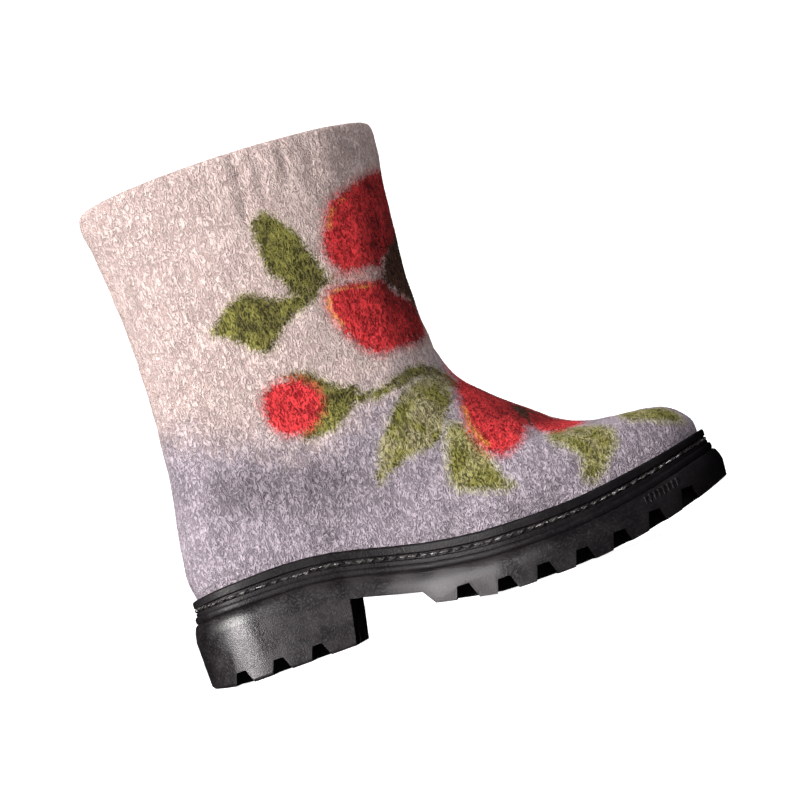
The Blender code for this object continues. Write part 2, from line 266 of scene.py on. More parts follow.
def mix_rubber(name, roughness, grain_mm, grain_height, dust, shine):
    """Black rubber: a roughness, a moulded grain of a size and height in mm, and a share of dust."""
    material, tree, shader = new_material(name, Specular_IOR_Level=shine)
    grain = clouds(tree, grain_mm, detail=0.0)
    slow = clouds(tree, POLISHED_PATCH, detail=3.0, shift=(0.3, 0.1, 0.0))
    speck = fade(tree, clouds(tree, grain_mm * SPECK_COARSER, detail=1.0), 0.45, 0.75)
    # The dust's grey is painted weaker towards the toe: painted light falloff
    dust_and_falloff = light_falloff_to_toe(tree, dust, dust * FALLOFF_AT_TOE)
    colour = RUBBER_BLACK
    for share in (fade(tree, slow, 0.35, 0.75), speck):
        colour = blend(tree, times(tree, share, dust_and_falloff), colour, RUBBER_DUSTY)
    spread = fade(tree, slow, 0.3, 0.7, roughness - 0.06, roughness + 0.08)
    rough = added(tree, spread, times(tree, speck, SPECK_ROUGHER))
    feed(tree, shader, colour, rough, grain, grain_height)
    return material


sole_rubber = mix_rubber("sole_rubber", roughness=0.34, grain_mm=0.60, grain_height=0.065, dust=0.60,
                         shine=0.60)
rand_rubber = mix_rubber("rand_rubber", roughness=0.42, grain_mm=0.80, grain_height=0.12, dust=0.22,
                         shine=0.24)

# %% [markdown]
# ## The sole unit
#
# Outsole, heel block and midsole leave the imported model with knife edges. Rubber from a mould has a small
# radius on every edge, which is what catches the light along the lugs. A bevel of half a millimetre on a
# merged copy gives that radius as real shape, where a trick in the shading would leave the lugs' outline
# sharp. Weighted normals then keep each large face even right up to its rounded edges.
#
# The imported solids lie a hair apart, and two of those gaps would show. The heel's sides are carried up
# to the outsole's widest line, because on the real boot the two share one side, and the midsole is made
# a little thicker both ways, so that no daylight comes through between the layers.

# %% Round the moulded pieces
SOLE_PIECES = (
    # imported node, edge rounding in mm, material, slot
    ("outsole", 0.55, sole_rubber, "sole_rubber"),
    ("heel", 0.55, sole_rubber, "sole_rubber"),
    ("midsole", 0.35, rand_rubber, "sole_rubber"),
    ("rand", 0.30, rand_rubber, "rand_rubber"),
)
HEEL_TOP_ABOVE = 21.0
HEEL_RAISE = 3.6
HEEL_SPREAD = 0.5
LAYER_OVERLAP = 0.5
# How much of a point's normal has to lean up, down or outwards before the point is moved that way
UPRIGHT = 0.6
LEANING = 0.2
FACE_WEIGHT = 80


def close_layer_gaps(solid):
    """Thickens a layer a little, up and down."""
    solid.normal_update()
    for vert in solid.verts:
        if abs(vert.normal.z) > UPRIGHT:
            vert.co.z += math.copysign(LAYER_OVERLAP * MM, vert.normal.z)


def join_heel_to_outsole(solid):
    """Carries the heel's sides up to the widest line of the outsole."""
    solid.normal_update()
    top = [v for v in solid.verts if v.co.z > HEEL_TOP_ABOVE * MM and v.normal.z > LEANING]
    for vert in top:
        level = Vector((vert.normal.x, vert.normal.y, 0.0))
        if level.length > LEANING:
            vert.co += level.normalized() * HEEL_SPREAD * MM
        vert.co.z += HEEL_RAISE * MM
    print(f"heel: {len(top)} points raised")


FITTED = {"heel": join_heel_to_outsole, "midsole": close_layer_gaps}
for node, rounding, rubber, slot_name in SOLE_PIECES:
    name = f"{node}_moulded"
    solid = merged_copy(node)
    if node in FITTED:
        FITTED[node](solid)
    round_hard_edges(solid, rounding)
    even = evaluated(name, mesh_of(name, solid), "WEIGHTED_NORMAL", keep_sharp=True, weight=FACE_WEIGHT)
    add_piece(name, even, rubber, stands_for=[node])

# %% [markdown]
# ## Ribs on the outsole's side
#
# Near the toe the sole's side carries a row of eight fine upright ribs. Each is a small bar whose edges
# are bevelled, set on the surface where a ray from outside meets the outsole, so that the row follows the
# sole's curve. The same row is mirrored onto the inner side.

# %% Set the ribs
RIB_COUNT = 8
RIB_FIRST_X = 98.0
RIB_PITCH = 2.5
RIB_FIRST_Z = 18.2
RIB_CLIMB = 0.5
RIB_SIZE = (1.1, 1.4, 6.6)
RIB_PROUD = 0.25
RIB_ROUNDING = 0.25
BESIDE_BOOT = 0.2

outsole_surface = BVHTree.FromBMesh(merged_copy("outsole"))
ribs = bmesh.new()
for side in (-1, 1):
    for count in range(RIB_COUNT):
        x = (RIB_FIRST_X + RIB_PITCH * count) * MM
        z = (RIB_FIRST_Z + RIB_CLIMB * count) * MM
        beside = Vector((x, side * BESIDE_BOOT, z))
        spot, normal, _, _ = outsole_surface.ray_cast(beside, Vector((0, -side, 0)))
        if spot is None:
            continue
        bar = bmesh.ops.create_cube(ribs, size=1.0)["verts"]
        bmesh.ops.scale(ribs, verts=bar, vec=Vector(RIB_SIZE) * MM)
        turn = math.atan2(normal.x, -normal.y)
        bmesh.ops.rotate(ribs, verts=bar, matrix=Matrix.Rotation(turn, 3, "Z"))
        sunk = RIB_SIZE[1] / 2 - RIB_PROUD
        bmesh.ops.translate(ribs, verts=bar, vec=spot - normal * sunk * MM)
bmesh.ops.bevel(ribs, geom=ribs.edges[:], offset=RIB_ROUNDING * MM, segments=2, profile=0.5,
                affect="EDGES", material=-1)
add_piece("outsole_side_ribs", ribs, sole_rubber)

# %% [markdown]
# ## The stitched welt seam
#
# A waxed two-ply thread runs in the rand's groove right round the boot. Each stitch comes out of one hole
# and dives into the next, with the plies laid round each other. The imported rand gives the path: level
# rays sent inwards at closely spaced heights find its side, and the groove's floor lies at a known share
# of its height. Thin curves with a round bevel then make every ply, and a taper at both ends sinks it
# into its hole.

# %% Find the groove's floor
GROOVE_SHARE = 0.39
SEAM_STATIONS = 360
RAYS_A_STATION = 150
# The rays start on an oval round the boot and aim at a line down the middle of the foot, in mm
OVAL_HALF_LENGTH = 165.0
OVAL_HALF_WIDTH = 85.0
AIM_FROM_X = -100.0
AIM_TO_X = 95.0
AIM_SHARE = 0.75
FARTHEST_HIT = 120.0
NEAR_SIDE_WITHIN = 100.0

rand_surface = BVHTree.FromBMesh(merged_copy("rand"))
rand_low, rand_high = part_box("rand")


def groove_floor(start, inward):
    """The groove's floor, where a column of level rays from the start meets the rand."""
    hits = []
    for z in np.linspace(rand_low.z - MM, rand_high.z + MM, RAYS_A_STATION):
        place = Vector((start.x, start.y, z))
        spot, _, _, _ = rand_surface.ray_cast(place, inward, FARTHEST_HIT * MM)
        if spot is not None and (spot.xy - start.xy).length < NEAR_SIDE_WITHIN * MM:
            hits.append(spot)
    low, high = hits[0].z, hits[-1].z
    middle = low + (high - low) * GROOVE_SHARE
    return min(hits, key=lambda spot: abs(spot.z - middle))


def seam_path():
    """Points on the groove's floor all round the boot."""
    path = []
    for angle in np.arange(SEAM_STATIONS) * 2 * math.pi / SEAM_STATIONS:
        start = Vector((OVAL_HALF_LENGTH * math.cos(angle), OVAL_HALF_WIDTH * math.sin(angle), 0.0)) * MM
        aim = Vector((max(AIM_FROM_X * MM, min(AIM_TO_X * MM, start.x * AIM_SHARE)), 0.0, 0.0))
        path.append(groove_floor(start, (aim - start).normalized()))
    return path


groove = seam_path()
groove_length = sum((b - a).length for a, b in zip(groove, groove[1:] + groove[:1]))
print(f"seam: {groove_length / MM:.0f} mm round the boot")

# %% Lay the stitches
STITCH_PITCH = 5.6
PLY_RADIUS = 0.60
PLY_ORBIT = 0.42
STITCH_RISE = 1.7
STITCH_SUNK = 1.25
STITCH_SLANT = (0.3, 0.9)
STITCH_FULLNESS = 0.8
PLY_POINTS = 9
PLY_END = 0.55
SEAM_SEED = 7


def even_points(path, count):
    """Points at even steps along a closed path."""
    points = np.array([list(p) for p in path] + [list(path[0])])
    steps = np.linalg.norm(np.diff(points, axis=0), axis=1)
    along = np.concatenate([[0.0], np.cumsum(steps)])
    wanted = np.arange(count) * along[-1] / count
    return [Vector([np.interp(w, along, points[:, axis]) for axis in range(3)]) for w in wanted]


def ply_curve(name, radius):
    """An empty curve whose lines get a round section of a radius in mm."""
    curve = bpy.data.curves.new(name, "CURVE")
    curve.dimensions = "3D"
    curve.bevel_depth = radius * MM
    curve.bevel_resolution = 1
    curve.resolution_u = 1
    curve.use_fill_caps = True
    return curve


def add_ply(curve, points, thickness):
    """Adds one line through the points, with a share of the curve's thickness at each."""
    line = curve.splines.new("POLY")
    line.points.add(len(points) - 1)
    for point, place, share in zip(line.points, points, thickness):
        point.co = (*place, 1.0)
        point.radius = share


def swept(curve):
    """The thickened curve as a plain mesh, smoothly shaded."""
    mesh = evaluated(curve.name, curve)
    for face in mesh.polygons:
        face.use_smooth = True
    return mesh


stitch_count = round(groove_length / (STITCH_PITCH * MM))
fine_path = even_points(groove, stitch_count * PLY_POINTS)
chance = np.random.default_rng(SEAM_SEED)
thread = ply_curve("seam_thread", PLY_RADIUS)
for stitch in range(stitch_count):
    first = stitch * PLY_POINTS
    slant = chance.uniform(*STITCH_SLANT)
    for ply in (0, 1):
        points, thickness = [], []
        for k in range(PLY_POINTS + 2):
            share = k / (PLY_POINTS + 1)
            here = fine_path[(first + k) % len(fine_path)]
            ahead = fine_path[(first + k + 1) % len(fine_path)] - here
            outward = Vector((ahead.y, -ahead.x, 0)).normalized()
            turn = 2 * math.pi * share + math.pi * ply
            arch = math.sin(math.pi * share) ** STITCH_FULLNESS
            lift = (STITCH_RISE * arch - STITCH_SUNK + PLY_ORBIT * math.cos(turn)) * MM
            climb = (PLY_ORBIT * math.sin(turn) + slant * (share - 0.5)) * MM
            points.append(here + outward * lift + Vector((0, 0, climb)))
            thickness.append(PLY_END + (1 - PLY_END) * arch)
        add_ply(thread, points, thickness)

# %% [markdown]
# The thread is dark waxed linen. Wax gives it a wet glint on top of each ply, so its roughness is low in
# patches and its colour stays near black. Where it has worn, grey fibres show through, and they are
# painted paler at the heel than at the toe as painted light from the heel's side.

# %% Finish the thread
WAX_DARK = (0.010, 0.009, 0.009, 1.0)
WAX_LIGHT = (0.055, 0.047, 0.047, 1.0)
WORN_FIBRE = (0.20, 0.18, 0.175, 1.0)
STRAND_SIZE = 0.5
WORN_PATCH_SIZE = 6.0
WORN_AND_LIT_AT_HEEL = 1.0
WORN_AND_LIT_AT_TOE = 0.3
WORN_STRENGTH = 0.5

waxed_thread, tree, shader = new_material("waxed_thread", Specular_IOR_Level=0.4)
strands = clouds(tree, STRAND_SIZE)
worn = fade(tree, clouds(tree, WORN_PATCH_SIZE, shift=(0.2, 0.0, 0.1)), 0.5, 0.75)
# The grey of the wear is painted stronger at the heel, as painted light
worn = times(tree, times(tree, worn, light_falloff_to_toe(tree, WORN_AND_LIT_AT_HEEL, WORN_AND_LIT_AT_TOE)), WORN_STRENGTH)
wax = blend(tree, fade(tree, strands, 0.4, 0.7), WAX_DARK, WAX_LIGHT)
feed(tree, shader, blend(tree, worn, wax, WORN_FIBRE), fade(tree, strands, 0.3, 0.7, 0.3, 0.6))
add_piece("seam_thread", swept(thread), waxed_thread)

# %% [markdown]
# Fine fibres have come loose from the thread. Each is one short bent line, thrown over the seam at a
# random place, and pale where the light catches it.

# %% Fray the thread
FRAY_COUNT = 150
FRAY_RADIUS = 0.16
FRAY_LENGTH = (1.2, 3.4)
FRAY_BEND = 0.9
FRAY_RISE = 0.55
FRAY_ARCH = 0.5
FRAY_TAPER = (0.4, 1.0, 1.0, 0.8, 0.3)
PALE_PATCH_SIZE = 9.0
FIBRE_DARK = (0.10, 0.09, 0.09, 1.0)
FIBRE_PALE = (0.72, 0.68, 0.68, 1.0)

fray = ply_curve("seam_fray", FRAY_RADIUS)
for _ in range(FRAY_COUNT):
    index = int(chance.integers(len(fine_path)))
    here = fine_path[index]
    ahead = (fine_path[(index + 1) % len(fine_path)] - here).normalized()
    outward = Vector((ahead.y, -ahead.x, 0))
    reach = chance.uniform(*FRAY_LENGTH) * MM
    bend = chance.uniform(-FRAY_BEND, FRAY_BEND) * MM
    points = []
    for share in (0.0, 0.25, 0.5, 0.75, 1.0):
        rise = (FRAY_RISE + FRAY_ARCH * math.sin(math.pi * share)) * MM
        points.append(here + ahead * reach * (share - 0.5) + outward * rise
                      + Vector((0, 0, bend * (share - 0.4))))
    add_ply(fray, points, FRAY_TAPER)
pale_fibre, tree, shader = new_material("pale_fibre", Roughness=0.6)
paleness = fade(tree, clouds(tree, PALE_PATCH_SIZE), 0.35, 0.65)
feed(tree, shader, blend(tree, paleness, FIBRE_DARK, FIBRE_PALE))
add_piece("seam_fray", swept(fray), pale_fibre)

# %% [markdown]
# ## The felt shell
#
# Felt has no seams to follow, so the shell is made as a sculptor would make it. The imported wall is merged,
# its triangles are joined back into quads, and two rounds of subdivision give points about two
# millimetres apart. Then both faces of the wall are pushed together: broad lumps where the wool is
# uneven, and soft troughs where the shaft has been gripped and bent. A cloth simulation would fold the
# shell like fabric, which felt as thick as this doesn't do.

# %% Subdivide the shell
SHELL_LEVELS = 2
QUAD_BEND = math.radians(60)
QUAD_SKEW = math.radians(80)

wall = merged_copy("upper")
bmesh.ops.join_triangles(wall, faces=wall.faces, angle_face_threshold=QUAD_BEND,
                         angle_shape_threshold=QUAD_SKEW)
shell = evaluated("felt_shell", mesh_of("felt_shell", wall), "SUBSURF",
                  levels=SHELL_LEVELS, render_levels=SHELL_LEVELS)
places = np.zeros((len(shell.vertices), 3))
shell.vertices.foreach_get("co", places.ravel())
normals = np.array([list(v.normal) for v in shell.vertices])
print(f"shell: {len(places)} points")

# %% [markdown]
# Each point has to know which way is out of the boot, on both faces of the wall. Two lines inside the
# boot answer that: one down the shaft and one along the foot. The way from the nearer line to the point
# is outwards, and where the point's own normal looks back at the line, the point is on the inside.

# %% Tell the outside from the inside
AXES = (
    # start and end of a line through the boot's hollow, in mm
    ((-49.0, 0.0, 262.0), (-50.0, 0.0, 88.0)),
    ((-98.0, 0.0, 66.0), (104.0, 0.0, 44.0)),
)


def away_from_line(points, start, end):
    """The way to each point from the nearest place on a straight line, and its length."""
    along = end - start
    share = np.clip(((points - start) @ along) / (along @ along), 0, 1)
    away = points - (start + share[:, None] * along)
    return away, np.linalg.norm(away, axis=1)


def away_from_axes(points):
    """The unit direction from the boot's hollow to each point."""
    shaft, foot = [away_from_line(points, start, end) for start, end in np.array(AXES) * MM]
    by_foot = foot[1] < shaft[1]
    away = np.where(by_foot[:, None], foot[0], shaft[0])
    return away / np.where(by_foot, foot[1], shaft[1])[:, None]


outward = away_from_axes(places)
outside = (outward * normals).sum(1) > 0
print(f"outside: {outside.mean():.0%} of the points")

# %% [markdown]
# ## Lumps and creases
#
# A crease is a line on one side of the boot with a half width and a depth. Points near the line sink,
# or rise where the depth is negative, and the fall-off is a cosine, so the trough has soft shoulders. The
# list holds the creases that show: six soft folds hang from the rim with a ridge below them, the bend of
# the ankle is pressed in, and the heel's back is pinched where the shaft meets the foot. The rim itself
# is rolled a little inwards, and the felt near the rand stays where the rand holds it.

# %% Press the creases
CREASES = (
    # points in mm, half width in mm, depth in mm
    (((-35.5, -54.0, 248.0), (-36.0, -54.0, 236.0), (-38.5, -53.0, 218.0)), 5.5, 1.15),
    (((-25.5, -52.5, 248.0), (-26.0, -52.5, 238.0), (-28.5, -52.0, 224.0)), 4.5, 0.95),
    (((-11.0, -48.5, 247.0), (-13.0, -49.0, 232.0)), 4.5, 0.7),
    (((-52.0, -55.0, 248.0), (-54.0, -55.0, 226.0)), 5.5, 0.55),
    (((-70.0, -53.0, 249.0), (-72.0, -53.0, 230.0)), 6.0, 0.5),
    (((1.0, -42.0, 246.0), (-1.0, -43.0, 222.0)), 5.0, 0.6),
    (((-44.0, -54.0, 226.0), (-40.0, -52.0, 206.0)), 6.0, -0.5),
    (((23.0, -30.0, 126.0), (23.0, 0.0, 126.0), (23.0, 30.0, 126.0)), 12.0, 0.8),
    (((20.0, -34.0, 112.0), (31.0, -16.0, 106.0)), 6.0, -0.7),
    (((-121.0, -14.0, 140.0), (-122.0, 0.0, 138.0), (-121.0, 14.0, 140.0)), 9.0, 0.8),
    (((-112.0, -26.0, 131.0), (-96.0, -38.0, 128.0)), 8.0, 0.6),
    (((44.0, 36.0, 62.0), (58.0, 30.0, 72.0)), 7.0, 0.5),
    (((-60.0, 52.0, 228.0), (-58.0, 51.0, 205.0)), 7.0, 0.7),
)
WALL = 4.5
HALF_WALL = 2.2
HELD_BELOW = 52.0
HOLD_FADES_OVER = 14.0
RIM_BACK_X = -127.0
RIM_BACK_Z = 253.8
RIM_FALL = -0.0333
RIM_ROLL_DEPTH = 8.0
RIM_ROLL_INWARD = 1.2
LUMP_SQUEEZE = (1.0, 1.0, 0.6)
LUMPS = (
    # size in mm, height in mm
    (46.0, 0.9),
    (16.0, 0.70),
    (7.0, 0.55),
)


def near_line(points, corners, half_width):
    """From 0 away from a line to 1 on it, with soft shoulders."""
    nearest = np.full(len(points), np.inf)
    for start, end in zip(corners, corners[1:]):
        _, distance = away_from_line(points, np.array(start) * MM, np.array(end) * MM)
        nearest = np.minimum(nearest, distance)
    return 0.5 + 0.5 * np.cos(np.pi * np.clip(nearest / (half_width * MM), 0, 1))


def lumps_at(points):
    """Height in metres of the uneven wool at each point. Lumps are longer up the shaft than across."""
    heights = np.zeros(len(points))
    for size, height in LUMPS:
        scaled = points * LUMP_SQUEEZE / (size * MM)
        heights += [height * MM * noise.noise(Vector(p)) for p in scaled]
    return heights


mid_wall = places - np.where(outside[:, None], outward, -outward) * HALF_WALL * MM
outer_face = places + np.where(outside[:, None], 0.0, outward * WALL * MM)
push = lumps_at(mid_wall)
for corners, half_width, depth in CREASES:
    push -= depth * MM * near_line(outer_face, corners, half_width)
free = np.clip((places[:, 2] - HELD_BELOW * MM) / (HOLD_FADES_OVER * MM), 0, 1)
below_rim = (RIM_BACK_Z + RIM_FALL * (places[:, 0] / MM - RIM_BACK_X)) * MM - places[:, 2]
rim_roll = np.clip(1 - below_rim / (RIM_ROLL_DEPTH * MM), 0, 1) ** 2
places += outward * (push * free - rim_roll * RIM_ROLL_INWARD * MM)[:, None]
shell.vertices.foreach_set("co", places.ravel())
shell.update()
print(f"moved: from {push.min() / MM:.2f} to {push.max() / MM:.2f} mm")

# %% [markdown]
# ## Poppies, leaves and buds
#
# The flowers are wool too, laid on the half-made shell and rubbed in, so their edges are fuzzy and they
# have no thickness. They are laid as a maker lays them: each shape is cut as a flat stencil and pressed
# onto the shell from the side that it faces. The turn is 0 for a stencil that faces the outer side and 90
# for one that faces the toe, and the tilt lifts its face upwards. A shape is a few corners of a smooth
# closed curve, across and up on the stencil in millimetres. Stems and the thin strokes of orange wool are
# lines with a half width.

# %% Draw the stencils
OUTER, INNER, BOTH = (-1,), (1,), (-1, 1)
WOOLS = ("petal", "leaf", "spring_leaf", "grey_leaf", "heart", "glow")
PETAL, LEAF, SPRING_LEAF, GREY_LEAF, HEART, GLOW = WOOLS

STENCILS = (
    # wool, sides, turn, tilt, outline
    (PETAL, BOTH, 46, 0, (
        (-29, 210), (-23, 214), (-17, 216), (-6, 219), (3, 221), (24, 222), (26, 206), (20, 188),
        (-3, 179), (-8, 174), (-13, 176), (-21, 176), (-32, 178), (-36, 184), (-36, 193), (-33, 202))),
    (PETAL, BOTH, 46, 0, (
        (-42, 168), (-38, 170), (-30, 170), (-18, 168), (-10, 168), (-6, 161), (5, 155), (13, 151),
        (9, 136), (-7, 133), (-19, 133), (-27, 133), (-34, 139), (-38, 146), (-41, 153), (-43, 161))),
    (HEART, BOTH, 90, 0, (
        (-9, 187), (-21, 179), (-25, 171), (-26, 167), (-21, 161), (-10, 155), (8, 152), (8, 171),
        (8, 189))),
    (LEAF, OUTER, 12, 0, (
        (-41, 217), (-47, 216), (-49, 211), (-49, 205), (-49, 195), (-48, 187), (-42, 181), (-41, 176),
        (-33, 173), (-26, 173), (-19, 175), (-22, 181), (-25, 190), (-28, 200), (-32, 207), (-36, 212))),
    (LEAF, OUTER, 0, 0, (
        (-77, 170), (-69, 176), (-61, 181), (-52, 182), (-44, 177), (-37, 174), (-28, 174), (-20, 173),
        (-20, 169), (-25, 167), (-31, 165), (-38, 162), (-46, 156), (-52, 151), (-60, 156), (-66, 162),
        (-73, 167))),
    (PETAL, OUTER, -4, 0, (
        (-49, 135), (-40, 133), (-34, 127), (-33, 120), (-37, 113), (-46, 109), (-56, 111), (-61, 118),
        (-61, 127), (-57, 133))),
    (LEAF, OUTER, 0, 0, (
        (-50, 136), (-43, 137), (-36, 134), (-31, 129), (-26, 124), (-17, 120), (-21, 113), (-28, 108),
        (-38, 104), (-51, 105), (-48, 112), (-43, 118), (-41, 127), (-46, 132))),
    (GREY_LEAF, OUTER, 16, 0, (
        (19, 111), (17, 102), (8, 91), (2, 83), (-7, 80), (-16, 79), (-25, 76), (-33, 72), (-30, 83),
        (-26, 91), (-18, 100), (-12, 107), (-4, 112), (5, 114), (13, 114))),
    (SPRING_LEAF, OUTER, 6, 8, (
        (15, 80), (21, 79), (24, 71), (28, 62), (28, 55), (31, 46), (34, 41), (23, 44), (13, 48),
        (8, 51), (8, 60), (11, 71))),
    (PETAL, OUTER, 40, 44, (
        (13, 56), (4, 42), (0, 33), (-1, 24), (0, 15), (4, 9), (11, 7), (21, 12), (27, 16), (30, 10),
        (36, 4), (46, 3), (53, 4), (55, 12), (46, 25), (36, 36), (29, 49), (24, 62))),
    (GREY_LEAF, OUTER, 16, 28, (
        (58, 34), (66, 37), (76, 28), (80, 22), (76, 16), (70, 18), (66, 26))),
    (SPRING_LEAF, OUTER, 16, 28, (
        (55, 38), (63, 40), (72, 33), (80, 27), (81, 21), (77, 15), (70, 9), (65, 6), (60, 7), (62, 13),
        (62, 18), (58, 25), (53, 31))),
    (SPRING_LEAF, OUTER, 45, 50, (
        (61, -21), (63, -22), (79, -32), (83, -38), (81, -44), (71, -41), (63, -36), (56, -30))),
    (PETAL, OUTER, 90, 45, (
        (-7, 52), (7, 52), (9, 34), (8, 12), (0, 6), (-8, 12), (-9, 34))),
    (HEART, OUTER, 40, 44, (
        (28, 21), (30, 18), (35, 25), (42, 24), (40, 29), (34, 34), (30, 30))),
    (LEAF, INNER, 10, 0, (
        (-13, 224), (-16, 221), (-15, 211), (-15, 204), (-11, 202), (-11, 210), (-10, 218))),
    (LEAF, INNER, 14, 0, (
        (-14, 206), (-26, 204), (-32, 199), (-35, 193), (-35, 187), (-29, 186), (-22, 184), (-17, 188),
        (-14, 194))),
    (PETAL, INNER, 16, 0, (
        (-33, 188), (-40, 184), (-46, 179), (-47, 171), (-42, 164), (-34, 159), (-26, 155), (-18, 158),
        (-16, 166), (-17, 176), (-25, 184))),
    (LEAF, INNER, 16, 0, (
        (-17, 175), (-10, 170), (-8, 161), (-9, 154), (-16, 148), (-25, 149), (-35, 152), (-41, 161),
        (-33, 161), (-25, 158), (-19, 162), (-16, 168))),
    (LEAF, INNER, 22, 0, (
        (-63, 130), (-55, 132), (-43, 134), (-33, 137), (-22, 136), (-13, 131), (-4, 126), (3, 120),
        (-9, 114), (-19, 110), (-27, 112), (-38, 119), (-47, 125), (-57, 126))),
    (PETAL, INNER, 30, 20, (
        (15, 108), (-1, 100), (-11, 93), (-16, 84), (-15, 74), (-8, 63), (-1, 55), (10, 50), (21, 44),
        (32, 38), (44, 35), (57, 35), (66, 40), (61, 53), (52, 61), (41, 74), (32, 90), (26, 104))),
    (HEART, INNER, 45, 35, (
        (13, 56), (22, 60), (30, 62), (40, 46), (46, 34), (39, 33), (29, 34), (21, 43), (15, 49))),
    (SPRING_LEAF, INNER, 6, 0, (
        (4, 81), (-6, 82), (-17, 84), (-27, 86), (-38, 83), (-48, 77), (-43, 72), (-32, 70), (-22, 66),
        (-13, 62), (-5, 65), (2, 72))),
    (SPRING_LEAF, INNER, 14, 22, (
        (6, 50), (8, 42), (16, 35), (25, 27), (30, 30), (34, 39), (29, 44), (19, 47), (10, 50))),
)

STROKES = (
    # wool, sides, turn, tilt, half width, line
    (LEAF, OUTER, 26, 0, 2.1, ((-46, 116), (-40, 116), (-25, 114), (-17, 116), (-8, 118), (1, 118),
                               (12, 114))),
    (LEAF, OUTER, 26, 0, 3.0, ((-12, 116), (-3, 118), (5, 117), (13, 113), (16, 107))),
    (LEAF, INNER, 24, 0, 1.4, ((-24, 152), (-16, 146), (-10, 136), (-4, 128), (3, 119))),
    (GLOW, BOTH, 40, 0, 1.0, ((-29, 198), (-27, 205), (-23, 209), (-16, 211))),
    (GLOW, BOTH, 40, 0, 1.0, ((-37, 151), (-40, 158), (-41, 161), (-40, 166), (-36, 169), (-27, 169),
                              (-19, 167), (-14, 168))),
    (GLOW, OUTER, 25, 22, 1.2, ((13, 72), (12, 61), (13, 54), (15, 48))),
    (GLOW, INNER, 20, 24, 0.8, ((26, 52), (25, 46), (28, 41), (34, 39))),
)

# %% [markdown]
# Every point of the shell then gets, for each kind of wool, how deep it lies inside that wool's shapes.
# A distance keeps its fuzzy edge at any scale, where a painted picture would blur, and the material can
# fray it with noise.

# %% Press the stencils onto the shell
FAR_OUTSIDE = -30.0
CORNER_STEPS = 5
TURNED_TO_STENCIL = 0.05
TINY = 1e-9


def rounded(corners, closed):
    """A smooth line through the corners, as points."""
    corners = np.array(corners, float)
    count = len(corners)
    points = []
    for i in range(count if closed else count - 1):
        wanted = [(i + k) % count if closed else min(max(i + k, 0), count - 1) for k in (-1, 0, 1, 2)]
        before, here, ahead, beyond = corners[wanted]
        for step in range(CORNER_STEPS):
            t = step / CORNER_STEPS
            points.append(0.5 * (2 * here + (ahead - before) * t
                                 + (2 * before - 5 * here + 4 * ahead - beyond) * t**2
                                 + (3 * here - before - 3 * ahead + beyond) * t**3))
    if not closed:
        points.append(corners[-1])
    return np.array(points)


def distance_to(points, starts, ends):
    """How far flat points lie from the nearest of many short lines."""
    along = ends - starts
    to_point = points[:, None] - starts
    share = np.clip((to_point * along).sum(2) / np.maximum((along**2).sum(1), TINY), 0, 1)
    return np.sqrt(((to_point - share[..., None] * along) ** 2).sum(2)).min(1)


def depth_inside(points, line):
    """How deep points lie inside a closed line, and negative outside it."""
    starts, ends = line, np.roll(line, -1, axis=0)
    across = (starts[:, 1] > points[:, None, 1]) != (ends[:, 1] > points[:, None, 1])
    rise = np.where(ends[:, 1] == starts[:, 1], TINY, ends[:, 1] - starts[:, 1])
    cut = starts[:, 0] + (points[:, None, 1] - starts[:, 1]) * (ends[:, 0] - starts[:, 0]) / rise
    inside = (across & (points[:, None, 0] < cut)).sum(1) % 2 == 1
    return np.where(inside, 1.0, -1.0) * distance_to(points, starts, ends)


def stencil_axes(turn, tilt):
    """The stencil's own across and up directions, and the way that it faces."""
    turn, tilt = math.radians(turn), math.radians(tilt)
    facing = Vector((math.sin(turn) * math.cos(tilt), -math.cos(turn) * math.cos(tilt), math.sin(tilt)))
    across = Vector((math.cos(turn), math.sin(turn), 0))
    return np.array(across), np.array(facing.cross(across)), np.array(facing)


def press(depths, wool, sides, turn, tilt, measure):
    """Keeps the greatest depth that a stencil gives to the points that it faces."""
    across, up, facing = stencil_axes(turn, tilt)
    for side in sides:
        flip = np.array((1.0, -side, 1.0))
        there = outside & ((normals * flip) @ facing > TURNED_TO_STENCIL)
        faced = places[there] * flip
        flat = np.stack([faced @ across, faced @ up], axis=1) / MM
        depths[wool][there] = np.maximum(depths[wool][there], measure(flat))


depths = {wool: np.full(len(places), FAR_OUTSIDE) for wool in WOOLS}
for wool, sides, turn, tilt, outline in STENCILS:
    line = rounded(outline, closed=True)
    press(depths, wool, sides, turn, tilt, lambda flat, line=line: depth_inside(flat, line))
for wool, sides, turn, tilt, half_width, outline in STROKES:
    line = rounded(outline, closed=False)
    press(depths, wool, sides, turn, tilt,
          lambda flat, line=line, half=half_width: half - distance_to(flat, line[:-1], line[1:]))
for wool in WOOLS:
    print(f"{wool}: {(depths[wool] > 0).sum()} points")

# %% [markdown]
# The shell itself was carded from two wools: a pinkish cream for the shaft and a lavender grey for the
# foot, which run into each other along a wandering line. How far a point lies above that line is one
# more number to keep. So is the share of painted shade, which lies in three darker patches on each
# side, and the place of the shaft's front, where the petals are painted darker as shade. The inside
# counts as cream all over.

# %% Part the cream wool from the grey
TONE_LINE = (
    # x and height in mm, from the heel's back to the toe
    (-142.0, 140.0),
    (-119.0, 132.0),
    (-84.0, 116.0),
    (-68.0, 109.0),
    (-44.0, 102.0),
    (-24.0, 108.0),
    (0.0, 112.0),
    (22.0, 122.0),
    (60.0, 128.0),
    (142.0, 140.0),
)
